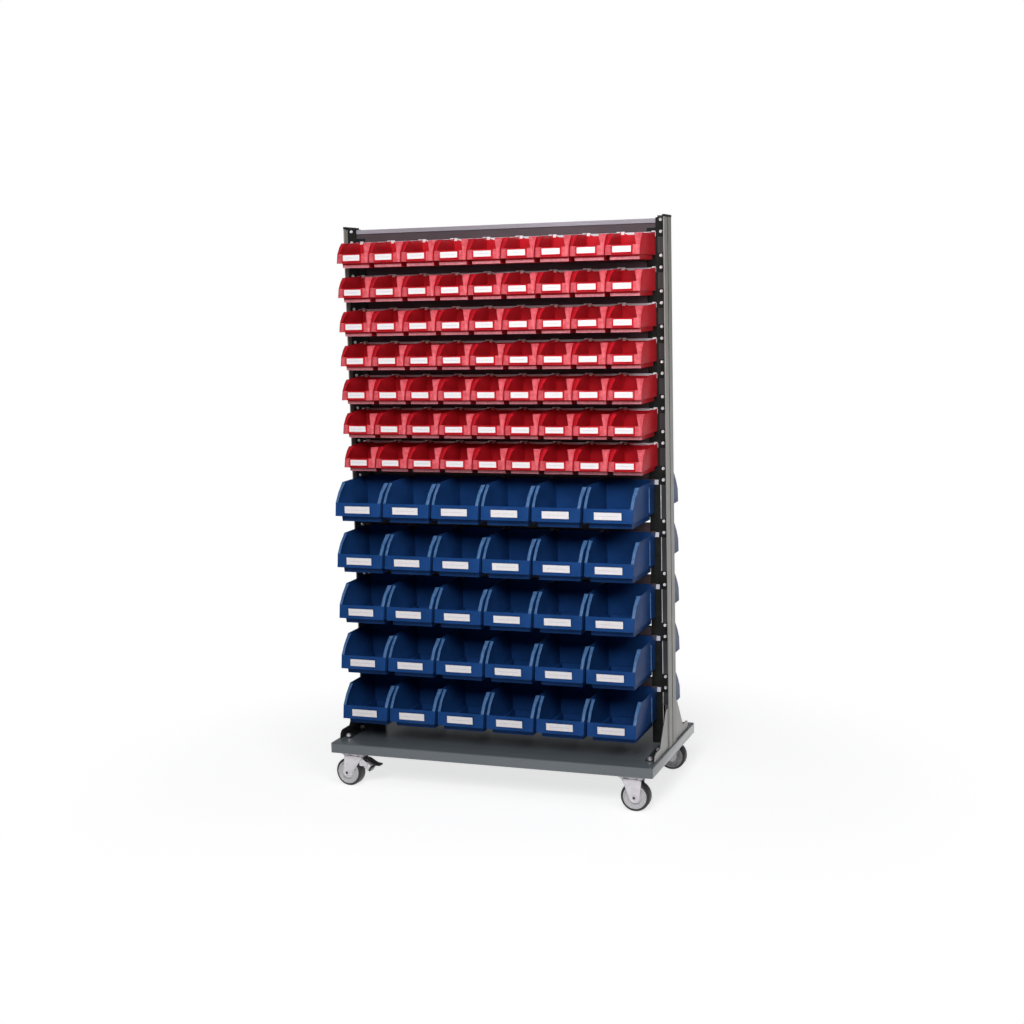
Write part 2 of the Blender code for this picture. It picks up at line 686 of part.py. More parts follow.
def add_rows(colour, shape, rows, lowest, pitch, rail, surface):
    """The rails of one bin size, each with a row of bins in front and another behind."""
    bins = bin_row_mesh(shape, colour + "_bins")
    for number in range(1, rows + 1):
        height = lowest + pitch * (rows - number)
        add_piece(f"rail_{colour}_{number}", rail, rail_steel(), location=(0, 0, height + shape.height))
        for side, turn in (("front", 0), ("back", math.pi)):
            place = (shape.slip if side == "front" else -shape.slip, 0, height)
            add_piece(f"bins_{side}_{colour}_{number}", bins, surface, location=place, turn=turn)


def add_castor(corner, x, y, heading, braked, meshes):
    """One castor: the fork's empty is on the swivel axis, and the wheel hangs in the fork."""
    plate, forks, wheel, tyre, pedal = meshes
    add_piece("castor_plate_" + corner, plate, bright_zinc(), location=(x, y, PLATE_BOTTOM), smooth=True)
    swivel = bpy.data.objects.new("swivel_" + corner, None)
    bpy.context.collection.objects.link(swivel)
    swivel.location = (x, y, 0)
    swivel.rotation_euler = (0, 0, heading)
    fork = add_piece("castor_fork_" + corner, forks[braked], bright_zinc(), swivel, smooth=True)
    axle = (-(BRAKED_TRAIL if braked else PLAIN_TRAIL), 0, WHEEL_RADIUS)
    lay = math.pi / 2
    hub = add_piece("castor_wheel_" + corner, wheel, wheel_plastic(), fork, axle, lay=lay, smooth=True)
    add_piece("castor_tyre_" + corner, tyre, tyre_rubber(), hub, smooth=True)
    if braked:
        pin = (BRAKE_PIN_FORWARD, 0, BRAKE_PIN_HEIGHT)
        add_piece("brake_pedal_" + corner, pedal, pedal_plastic(), fork, pin)


def add_castors():
    """Four castors, with brakes on the left end; the two ends trail away from each other."""
    forks = {braked: fork_mesh(braked) for braked in (False, True)}
    meshes = (castor_plate_mesh(), forks, wheel_mesh(), tyre_mesh(), pedal_mesh())
    x = TRAY_LENGTH / 2 - CASTOR_END_INSET
    y = TRAY_DEPTH / 2 - CASTOR_SIDE_INSET
    for end, side_x in (("left", -1), ("right", 1)):
        for row, side_y in (("front", -1), ("rear", 1)):
            braked = end == "left"
            heading = BRAKED_HEADING if braked else PLAIN_HEADING
            add_castor(row + "_" + end, side_x * x, side_y * y, heading, braked, meshes)


clear_scene()
add_frame()
shared_rail = rail_mesh()
add_rows("red", RED_BIN, RED_ROWS, LOWEST_RED_ROW, RED_PITCH, shared_rail, red_plastic())
add_rows("blue", BLUE_BIN, BLUE_ROWS, LOWEST_ROW, BLUE_PITCH, shared_rail, blue_plastic())
add_castors()
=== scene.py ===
"""Double-sided mobile bin rack: small red and large blue picking bins hang on steel rails
between two uprights, over a painted tray on four swivel castors."""
import math

import bmesh
import bpy
from mathutils import Matrix, Vector


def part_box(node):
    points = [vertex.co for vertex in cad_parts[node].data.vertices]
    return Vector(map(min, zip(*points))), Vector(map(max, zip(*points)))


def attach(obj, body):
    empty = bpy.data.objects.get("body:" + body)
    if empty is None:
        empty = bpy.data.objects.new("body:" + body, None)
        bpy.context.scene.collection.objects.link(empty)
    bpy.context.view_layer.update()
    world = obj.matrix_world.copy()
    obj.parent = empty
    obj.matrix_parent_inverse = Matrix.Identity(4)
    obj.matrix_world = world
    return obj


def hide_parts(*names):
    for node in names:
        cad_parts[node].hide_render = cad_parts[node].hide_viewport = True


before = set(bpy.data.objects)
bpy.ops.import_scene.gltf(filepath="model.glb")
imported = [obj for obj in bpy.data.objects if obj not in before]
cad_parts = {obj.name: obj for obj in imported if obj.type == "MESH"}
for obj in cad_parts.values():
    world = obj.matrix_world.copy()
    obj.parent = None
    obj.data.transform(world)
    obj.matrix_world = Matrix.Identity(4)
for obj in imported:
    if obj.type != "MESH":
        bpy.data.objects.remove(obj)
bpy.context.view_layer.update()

# Camera: from the right of the front, level with the second row of bins and about four and a
# half metres away, tilted down a little and turned slightly about its own axis
view_turn, view_pitch, view_roll = (math.radians(a) for a in (20.09, -7.72, -1.37))
view_from = (1.6327, -4.4426, 1.459)
ahead = Vector((
    -math.sin(view_turn) * math.cos(view_pitch),
    math.cos(view_turn) * math.cos(view_pitch),
    math.sin(view_pitch),
))
aside = Vector((math.cos(view_turn), math.sin(view_turn), 0))
above = aside.cross(ahead)
level_x = aside * math.cos(view_roll) + above * math.sin(view_roll)
level_y = above * math.cos(view_roll) - aside * math.sin(view_roll)
bpy.ops.object.camera_add()
camera = bpy.context.object
camera.name = "camera"
camera.data.sensor_width = 36
camera.data.lens = 56.04
camera.matrix_world = (
    Matrix.Translation(view_from)
    @ Matrix((level_x, level_y, -ahead)).transposed().to_4x4()
)
bpy.context.scene.camera = camera
bpy.context.scene.view_settings.view_transform = "Standard"

# Floor: a pale studio floor that keeps the soft shadow of the rack near it and runs out into
# the white of the room further off
shadow_reach, white_from = 0.55, 1.5
seen_glow, mirrored_glow = 0.72, 1.2
bpy.ops.mesh.primitive_plane_add(size=60, location=(0, 0, 0))
floor = bpy.context.object
floor.name = "floor"
floor_white = bpy.data.materials.new("floor_white")
floor_white.use_nodes = True
tree = floor_white.node_tree
lit = tree.nodes["Principled BSDF"]
lit.inputs["Base Color"].default_value = (0.50, 0.50, 0.51, 1)
lit.inputs["Roughness"].default_value = 0.9
lit.inputs["Specular IOR Level"].default_value = 0.1
lit.inputs["Emission Color"].default_value = (1, 1, 1, 1)
white = tree.nodes.new("ShaderNodeEmission")
white.inputs["Strength"].default_value = 1.0
coordinates = tree.nodes.new("ShaderNodeTexCoord")
distance = tree.nodes.new("ShaderNodeVectorMath")
distance.operation = "LENGTH"
far = tree.nodes.new("ShaderNodeMapRange")
far.interpolation_type = "SMOOTHSTEP"
far.inputs["From Min"].default_value = shadow_reach
far.inputs["From Max"].default_value = white_from
ray = tree.nodes.new("ShaderNodeLightPath")
seen = tree.nodes.new("ShaderNodeMath")
seen.operation = "MULTIPLY"
glow = tree.nodes.new("ShaderNodeMath")
glow.operation = "MULTIPLY"
glow.inputs[1].default_value = seen_glow
mirrored = tree.nodes.new("ShaderNodeMath")
mirrored.operation = "MULTIPLY_ADD"
mirrored.inputs[1].default_value = mirrored_glow
blend = tree.nodes.new("ShaderNodeMixShader")
tree.links.new(coordinates.outputs["Object"], distance.inputs[0])
tree.links.new(distance.outputs["Value"], far.inputs["Value"])
tree.links.new(far.outputs["Result"], seen.inputs[0])
tree.links.new(ray.outputs["Is Camera Ray"], seen.inputs[1])
tree.links.new(ray.outputs["Is Camera Ray"], glow.inputs[0])
tree.links.new(ray.outputs["Is Glossy Ray"], mirrored.inputs[0])
tree.links.new(glow.outputs[0], mirrored.inputs[2])
tree.links.new(mirrored.outputs[0], lit.inputs["Emission Strength"])
tree.links.new(seen.outputs[0], blend.inputs[0])
tree.links.new(lit.outputs[0], blend.inputs[1])
tree.links.new(white.outputs[0], blend.inputs[2])
tree.links.new(blend.outputs[0], tree.nodes["Material Output"].inputs["Surface"])
floor.data.materials.append(floor_white)

# Light: a soft box in front on the right, a small one further right for the upper rows, a faint
# one overhead, and a room that is pale behind the rack and dim in front of it
front_strength, rear_strength = 0.045, 0.26
world = bpy.data.worlds.new("room")
bpy.context.scene.world = world
world.use_nodes = True
tree = world.node_tree
room = tree.nodes["Background"]
room.inputs["Color"].default_value = (0.94, 0.97, 1.0, 1)
backdrop = tree.nodes.new("ShaderNodeBackground")
backdrop.inputs["Color"].default_value = (1, 1, 1, 1)
coordinates = tree.nodes.new("ShaderNodeTexCoord")
parts = tree.nodes.new("ShaderNodeSeparateXYZ")
behind = tree.nodes.new("ShaderNodeMapRange")
behind.interpolation_type = "SMOOTHSTEP"
behind.inputs["From Min"].default_value = -0.1
behind.inputs["From Max"].default_value = 0.7
behind.inputs["To Min"].default_value = front_strength
behind.inputs["To Max"].default_value = rear_strength
ray = tree.nodes.new("ShaderNodeLightPath")
blend = tree.nodes.new("ShaderNodeMixShader")
tree.links.new(coordinates.outputs["Generated"], parts.inputs[0])
tree.links.new(parts.outputs["Y"], behind.inputs["Value"])
tree.links.new(behind.outputs["Result"], room.inputs["Strength"])
tree.links.new(ray.outputs["Is Camera Ray"], blend.inputs[0])
tree.links.new(room.outputs[0], blend.inputs[1])
tree.links.new(backdrop.outputs[0], blend.inputs[2])
tree.links.new(blend.outputs[0], tree.nodes["World Output"].inputs["Surface"])
for name, place, target, size, power, spread in (
    ("soft_box_front", (1.0, -4.3, 2.95), (0, 0, 0.90), 1.5, 132, 180),
    ("soft_box_right", (1.9, -2.0, 1.9), (0, -0.1, 1.50), 0.8, 6.5, 75),
    ("soft_box_over", (0.6, -1.9, 3.8), (0, 0, 1.2), 1.6, 16, 180),
):
    bpy.ops.object.light_add(type="AREA", location=place)
    lamp = bpy.context.object
    lamp.name = name
    lamp.data.shape = "SQUARE"
    lamp.data.size = size
    lamp.data.energy = power
    lamp.data.spread = math.radians(spread)
    lamp.rotation_euler = (Vector(target) - Vector(place)).to_track_quat("-Z", "Y").to_euler()


# Base tray: one pan of 2 mm sheet, folded down along all four edges and back in underneath,
# where the castors are bolted on; powder coated in a dark green-grey
def leave_edit():
    """Go back to object mode if the piece in hand is being edited."""
    if bpy.context.object and bpy.context.object.mode != "OBJECT":
        bpy.ops.object.mode_set(mode="OBJECT")


def begin():
    """Leave edit mode and select nothing."""
    leave_edit()
    bpy.ops.object.select_all(action="DESELECT")


def block(name, low, high):
    """A block with its corners at low and high, left in edit mode."""
    begin()
    bpy.ops.mesh.primitive_cube_add(
        size=1,
        location=[(a + b) / 2 for a, b in zip(low, high)],
        scale=[b - a for a, b in zip(low, high)],
    )
    piece = bpy.context.object
    piece.name = name
    bpy.ops.object.transform_apply(location=True, rotation=True, scale=True)
    bpy.ops.object.mode_set(mode="EDIT")
    return piece


def pick(kind, test):
    """Select the faces, edges or points of the piece in edit mode that pass the test.

    The test is given the middle of each and its direction: the normal, or the way of the edge.
    """
    bpy.ops.mesh.select_mode(type=kind)
    bpy.ops.mesh.select_all(action="DESELECT")
    mesh = bmesh.from_edit_mesh(bpy.context.object.data)
    if kind == "FACE":
        found = [f for f in mesh.faces if test(f.calc_center_median(), f.normal)]
    elif kind == "EDGE":
        found = []
        for edge in mesh.edges:
            start, end = (v.co for v in edge.verts)
            if test((start + end) / 2, (end - start).normalized()):
                found.append(edge)
    else:
        found = [v for v in mesh.verts if test(v.co, v.normal)]
    for part in found:
        part.select_set(True)
    bmesh.update_edit_mesh(bpy.context.object.data)


def cut_faces(test, planes):
    """Cut the faces that pass the test along each plane, a (point, direction) pair."""
    for point, direction in planes:
        pick("FACE", test)
        bpy.ops.mesh.bisect(plane_co=point, plane_no=direction)


def modify(kind, **settings):
    """Add one modifier to the piece in hand and apply it."""
    leave_edit()
    added = bpy.context.object.modifiers.new(kind.lower(), kind)
    for key, value in settings.items():
        setattr(added, key, value)
    bpy.ops.object.modifier_apply(modifier=added.name)


def smooth(degrees=35):
    """Smooth shading, with edges sharper than the angle kept."""
    leave_edit()
    bpy.ops.object.shade_smooth_by_angle(angle=math.radians(degrees))


def finish(name, colour, roughness, metallic=0.0, shine=0.5):
    """A new material with its shader's plain settings; the caller adds the detail."""
    made = bpy.data.materials.new(name)
    made.use_nodes = True
    shader = made.node_tree.nodes["Principled BSDF"]
    shader.inputs["Base Color"].default_value = (*colour, 1)
    shader.inputs["Roughness"].default_value = roughness
    shader.inputs["Metallic"].default_value = metallic
    shader.inputs["Specular IOR Level"].default_value = shine
    return made


def add_noise(material, scale, detail=3.0, stretch=(1, 1, 1)):
    """A noise pattern in object coordinates; returns its value's socket."""
    tree = material.node_tree
    coordinates = tree.nodes.new("ShaderNodeTexCoord")
    mapping = tree.nodes.new("ShaderNodeMapping")
    mapping.inputs["Scale"].default_value = stretch
    noise = tree.nodes.new("ShaderNodeTexNoise")
    noise.inputs["Scale"].default_value = scale
    noise.inputs["Detail"].default_value = detail
    tree.links.new(coordinates.outputs["Object"], mapping.inputs["Vector"])
    tree.links.new(mapping.outputs["Vector"], noise.inputs["Vector"])
    return noise.outputs[0]


def tint_by(material, value, first, second, low=0.35, high=0.65):
    """Colour the surface from first to second as the value goes from low to high."""
    tree = material.node_tree
    ramp = tree.nodes.new("ShaderNodeValToRGB")
    ramp.color_ramp.elements[0].position = low
    ramp.color_ramp.elements[0].color = (*first, 1)
    ramp.color_ramp.elements[1].position = high
    ramp.color_ramp.elements[1].color = (*second, 1)
    tree.links.new(value, ramp.inputs["Fac"])
    tree.links.new(ramp.outputs["Color"], tree.nodes["Principled BSDF"].inputs["Base Color"])


def roughen_by(material, value, least, most):
    """Let the roughness run from least to most with the value."""
    tree = material.node_tree
    spread = tree.nodes.new("ShaderNodeMapRange")
    spread.inputs["To Min"].default_value = least
    spread.inputs["To Max"].default_value = most
    tree.links.new(value, spread.inputs["Value"])
    tree.links.new(spread.outputs["Result"], tree.nodes["Principled BSDF"].inputs["Roughness"])


def bump_by(material, value, strength, distance):
    """Raise the surface a little with the value."""
    tree = material.node_tree
    bump = tree.nodes.new("ShaderNodeBump")
    bump.inputs["Strength"].default_value = strength
    bump.inputs["Distance"].default_value = distance
    tree.links.new(value, bump.inputs["Height"])
    tree.links.new(bump.outputs["Normal"], tree.nodes["Principled BSDF"].inputs["Normal"])


tray_paint = finish("tray_powder_coat", (0.12, 0.14, 0.15), 0.24)
tint_by(tray_paint, add_noise(tray_paint, 3.0), (0.115, 0.135, 0.148), (0.130, 0.150, 0.162))
roughen_by(tray_paint, add_noise(tray_paint, 14.0), 0.2, 0.28)
bump_by(tray_paint, add_noise(tray_paint, 900.0, 2.0), 0.05, 0.0002)

tray_low, tray_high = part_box("base_tray")
tray_sheet = 0.002
corner_radius, fold_radius = 0.006, 0.003
flange_width = 0.0865
tray = block("tray_pan", tray_low, tray_high)
pick("EDGE", lambda at, way: abs(way.z) > 0.9)
bpy.ops.mesh.bevel(offset=corner_radius, segments=5, affect="EDGES")
pick("EDGE", lambda at, way: at.z > tray_high.z - 0.0005 and abs(way.z) < 0.1)
bpy.ops.mesh.bevel(offset=fold_radius, segments=4, affect="EDGES")
for corner, way_in in ((tray_low, 1), (tray_high, -1)):
    fold = corner + Vector((1, 1, 0)) * flange_width * way_in
    cut_faces(lambda at, way: way.z < -0.9, ((fold, (1, 0, 0)), (fold, (0, 1, 0))))
pick("FACE", lambda at, way: way.z < -0.9 and abs(at.x) < 0.1 and abs(at.y) < 0.1)
bpy.ops.mesh.delete(type="FACE")
modify("SOLIDIFY", thickness=tray_sheet, offset=-1, use_even_offset=True)
smooth()
tray.data.materials.append(tray_paint)
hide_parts("base_tray")
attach(tray, "rack")


# Uprights, feet and beam: folded and pressed steel sheet, bolted down through the feet; the outer
# faces are enamelled in a light grey-beige, on the feet in a paler copy as painted light, and the
# inner faces and ribs are painted black as painted shade
def split_by_width(material, inner, outer, edge):
    """The inner colour where the piece is nearer the rack's middle than the edge along X."""
    tree = material.node_tree
    coordinates = tree.nodes.new("ShaderNodeTexCoord")
    parts = tree.nodes.new("ShaderNodeSeparateXYZ")
    width = tree.nodes.new("ShaderNodeMath")
    width.operation = "ABSOLUTE"
    side = tree.nodes.new("ShaderNodeMapRange")
    side.inputs["From Min"].default_value = edge - 0.0003
    side.inputs["From Max"].default_value = edge
    tree.links.new(coordinates.outputs["Object"], parts.inputs[0])
    tree.links.new(parts.outputs["X"], width.inputs[0])
    tree.links.new(width.outputs[0], side.inputs["Value"])
    tint_by(material, side.outputs["Result"], inner, outer, 0.2, 0.8)


def on_side(sign, inner, outer):
    """The two distances from the rack's middle in rising order, on the side of the sign."""
    return sorted((sign * inner, sign * outer))


def soften(width, segments=2, **limits):
    """Round the sharp edges of the piece in hand."""
    modify("BEVEL", width=width, segments=segments, limit_method="ANGLE", **limits)


# Black on the inner faces and ribs: painted shade where the rows of bins shade the uprights
inner_painted_shade = (0.018, 0.019, 0.02)
enamel_from = 0.4924
# The feet get a paler copy of the uprights' enamel: painted light, brighter towards the floor
for part, paint in (("upright_", (0.27, 0.26, 0.235)), ("upright_foot_", (0.42, 0.41, 0.38))):
    enamel = finish(part + "enamel", paint, 0.42)
    split_by_width(enamel, inner_painted_shade, paint, enamel_from)
    roughen_by(enamel, add_noise(enamel, 30.0), 0.34, 0.5)
    bump_by(enamel, add_noise(enamel, 1200.0, 2.0), 0.1, 0.0003)
    for side in ("left", "right"):
        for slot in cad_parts[part + side].material_slots:
            slot.material = enamel
beam_paint = finish("beam_enamel", (0.32, 0.30, 0.34), 0.35)
along_beam = add_noise(beam_paint, 6.0, 3.0, (0.2, 1, 1))
tint_by(beam_paint, along_beam, (0.28, 0.26, 0.30), (0.36, 0.34, 0.39))
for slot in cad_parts["top_beam"].material_slots:
    slot.material = beam_paint

# Black for the end caps and tabs, and for the painted shade in the grooves and between the rows
black_shade_and_trim = finish("black_shade_and_trim", (0.010, 0.011, 0.010), 0.6, 0.0, 0.12)
tint_by(black_shade_and_trim, add_noise(black_shade_and_trim, 40.0), (0.008, 0.009, 0.008), (0.014, 0.015, 0.014))
bump_by(black_shade_and_trim, add_noise(black_shade_and_trim, 600.0), 0.15, 0.0003)
zinc = finish("bright_zinc", (0.66, 0.64, 0.68), 0.34, 0.6)
tint_by(zinc, add_noise(zinc, 60.0, 4.0), (0.60, 0.58, 0.62), (0.72, 0.70, 0.74))
upright_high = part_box("upright_right")[1]
upright_face, upright_top = upright_high.x, upright_high.z
tray_top = tray_high.z
groove_half = 0.0036
cap_half, cap_height = 0.041, 0.007
blue_rows_top, angle_top = 0.93, 1.640
bolt_x, bolt_y, bolt_gap = 0.474, 0.083, 0.097
for side, sign in (("right", 1), ("left", -1)):
    # A black strip in the groove of the outer face as painted shade, and a black end cap
    near, far = on_side(sign, upright_face - 0.0014, upright_face - 0.0002)
    trim = block(
        "groove_shade_strip_" + side,
        (near, -groove_half, tray_top + 0.004),
        (far, groove_half, upright_top - 0.006),
    )
    soften(0.0004)
    smooth()
    trim.data.materials.append(black_shade_and_trim)
    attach(trim, "rack")
    near, far = on_side(sign, upright_face - 0.006, upright_face + 0.0008)
    cap = block(
        "end_cap_" + side,
        (near, -cap_half, upright_top - cap_height),
        (far, cap_half, upright_top),
    )
    soften(0.0015, 3)
    smooth()
    cap.data.materials.append(black_shade_and_trim)
    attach(cap, "rack")
    # A bright zinc strip on the edge of each rib between the rows of large bins is a painted
    # highlight
    near, far = on_side(sign, 0.4702, 0.4724)
    edge = block(
        "rib_highlight_strip_" + side, (near, 0.0122, tray_top + 0.03), (far, 0.0155, blue_rows_top)
    )
    modify("MIRROR", use_axis=(False, True, False), use_bisect_axis=(False, False, False))
    soften(0.0006)
    smooth()
    edge.data.materials.append(zinc)
    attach(edge, "rack")
    # A black angle along each rib closes the end between the two rows of bins, a dark sheet put
    # there as painted shade
    near, far = on_side(sign, 0.438, 0.4698)
    liner = block(
        "rib_shade_angle_" + side, (near, 0.0112, tray_top + 0.006), (far, 0.0132, angle_top)
    )
    modify("MIRROR", use_axis=(False, True, False))
    soften(0.0004, 1)
    liner.data.materials.append(black_shade_and_trim)
    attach(liner, "rack")
    # Four hex bolts with washers hold each foot to the tray
    begin()
    bpy.ops.mesh.primitive_cylinder_add(
        vertices=20, radius=0.0085, depth=0.0014,
        location=(sign * bolt_x, bolt_y, tray_top + 0.0042),
    )
    bolts = bpy.context.object
    bolts.name = "foot_bolts_" + side
    bpy.ops.object.mode_set(mode="EDIT")
    bpy.ops.mesh.primitive_cylinder_add(
        vertices=6, radius=0.0068, depth=0.006,
        location=(sign * bolt_x, bolt_y, tray_top + 0.0078),
    )
    bpy.ops.object.mode_set(mode="OBJECT")
    bpy.ops.object.transform_apply(location=True, rotation=True, scale=True)
    modify("ARRAY", count=2, use_relative_offset=False, use_constant_offset=True,
           constant_offset_displace=(0, bolt_gap, 0))
    modify("MIRROR", use_axis=(False, True, False))
    soften(0.0005)
    smooth()
    bolts.data.materials.append(zinc)
    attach(bolts, "rack")

# Rails: rolled steel hats with an upstanding lip each side that the bins hang on, and black tabs
# at the ends that are screwed to the ribs; the spine is dark as painted shade, the lips behind the
# small bins are bright as a painted highlight, and behind the large bins take the painted shade
# The spine's dark colour is painted shade, the lips' pale colour a painted highlight
spine_shade_steel = finish("rail_spine_painted_shade", (0.076, 0.056, 0.064), 0.5, 0.0, 0.25)
along_rail = add_noise(spine_shade_steel, 12.0, 4.0, (0.2, 1, 1))
tint_by(spine_shade_steel, along_rail, (0.064, 0.046, 0.053), (0.090, 0.066, 0.076))
lip_highlight_steel = finish("rail_lip_painted_highlight", (0.74, 0.73, 0.79), 0.42, 0.3)
along_lip = add_noise(lip_highlight_steel, 18.0, 4.0, (0.3, 1, 1))
tint_by(lip_highlight_steel, along_lip, (0.66, 0.65, 0.71), (0.80, 0.79, 0.85))
rail_sheet = 0.002
tab_height, tab_from, bright_from = 0.040, 0.465, 0.452
spine_end, spine_half = 0.4695, 0.009
lip_inside, lip_outside = 0.0155, 0.0175
screw_x, screw_gap = 0.480, 0.033
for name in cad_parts:
    if name.startswith("rail_"):
        red_rail = name.startswith("rail_red")
        low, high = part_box(name)
        lip = high.z - tab_height
        half = high.x
        rail = block(
            name + "_spine",
            (-spine_end, -spine_half, lip - 0.0135),
            (spine_end, spine_half, lip + 0.025),
        )
        pick("EDGE", lambda at, way: abs(way.x) > 0.9 and at.z > lip)
        bpy.ops.mesh.bevel(offset=0.002, segments=3, affect="EDGES")
        pick("FACE", lambda at, way: way.z < -0.9)
        bpy.ops.mesh.delete(type="FACE")
        modify("SOLIDIFY", thickness=rail_sheet, offset=-1, use_even_offset=True)
        smooth()
        rail.data.materials.append(spine_shade_steel)
        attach(rail, "rack")
        for side, sign in (("front", -1), ("back", 1)):
            near, far = on_side(sign, lip_inside, lip_outside)
            blade = block(name + "_lip_" + side, (-half, near, low.z), (half, far, lip))
            for cut in (tab_from, bright_from, -bright_from, -tab_from):
                bpy.ops.mesh.select_all(action="SELECT")
                bpy.ops.mesh.bisect(plane_co=(cut, 0, 0), plane_no=(1, 0, 0))
            pick("FACE", lambda at, way: way.z > 0.9 and abs(at.x) > tab_from)
            bpy.ops.mesh.extrude_region_move(
                TRANSFORM_OT_translate={"value": (0, 0, tab_height)}
            )
            soften(0.0004, 1)
            smooth()
            for steel in (lip_highlight_steel, black_shade_and_trim, spine_shade_steel):
                blade.data.materials.append(steel)
            # Black tabs at the ends; on the large bins' rails the middle of each lip takes the
            # spine's painted shade
            for face in blade.data.polygons:
                if abs(face.center.x) > tab_from:
                    face.material_index = 1
                elif not red_rail and abs(face.center.x) < bright_from:
                    face.material_index = 2
            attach(blade, "rack")
        # Two pan-head screws through each end of each lip
        begin()
        bpy.ops.mesh.primitive_cylinder_add(
            vertices=14, radius=0.0046, depth=0.0024,
            location=(screw_x, 0.0187, lip), rotation=(math.pi / 2, 0, 0),
        )
        screws = bpy.context.object
        screws.name = name + "_screws"
        bpy.ops.object.transform_apply(location=True, rotation=True, scale=True)
        bpy.ops.object.mode_set(mode="EDIT")
        pick("FACE", lambda at, way: way.y > 0.9)
        bpy.ops.mesh.bevel(offset=0.0012, segments=2)
        pick("FACE", lambda at, way: way.y > 0.99)
        bpy.ops.mesh.inset(thickness=0.0010, depth=-0.0006)
        modify("ARRAY", count=2, use_relative_offset=False, use_constant_offset=True,
               constant_offset_displace=(0, 0, screw_gap))
        modify("MIRROR", use_axis=(True, True, False))
        smooth()
        screws.data.materials.append(zinc)
        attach(screws, "rack")
        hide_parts(name)

# Small bins: injection-moulded red polypropylene with a sloped front, round cheeks beside the
# mouth, a label pocket on the front panel and two claws behind that hang on the rail's lip
close = 0.0001
hook_plane = 0.018


def move(x=0.0, y=0.0, z=0.0):
    """Move what is selected of the piece in edit mode."""
    bpy.ops.transform.translate(value=(x, y, z))


def round_corners(half, front, z, ratio):
    """Grow or shrink the two round front corners of the ring at height z about their corners."""
    for side in (1, -1):
        pick("VERT", lambda at, way: abs(at.z - z) < close and at.x * side > half * 0.3
             and at.y < front + 0.04)
        bpy.ops.transform.resize(value=(ratio, ratio, 1), center_override=(side * half, front, z))


def set_ring(z, half_before, half, front_before, front):
    """Move the sides and the front of the ring at height z out to their new places."""
    for side in (1, -1):
        pick("VERT", lambda at, way: abs(at.z - z) < close and at.x * side > 0.001)
        move(x=side * (half - half_before))
    pick("VERT", lambda at, way: abs(at.z - z) < close and at.y < -0.05)
    move(y=front - front_before)


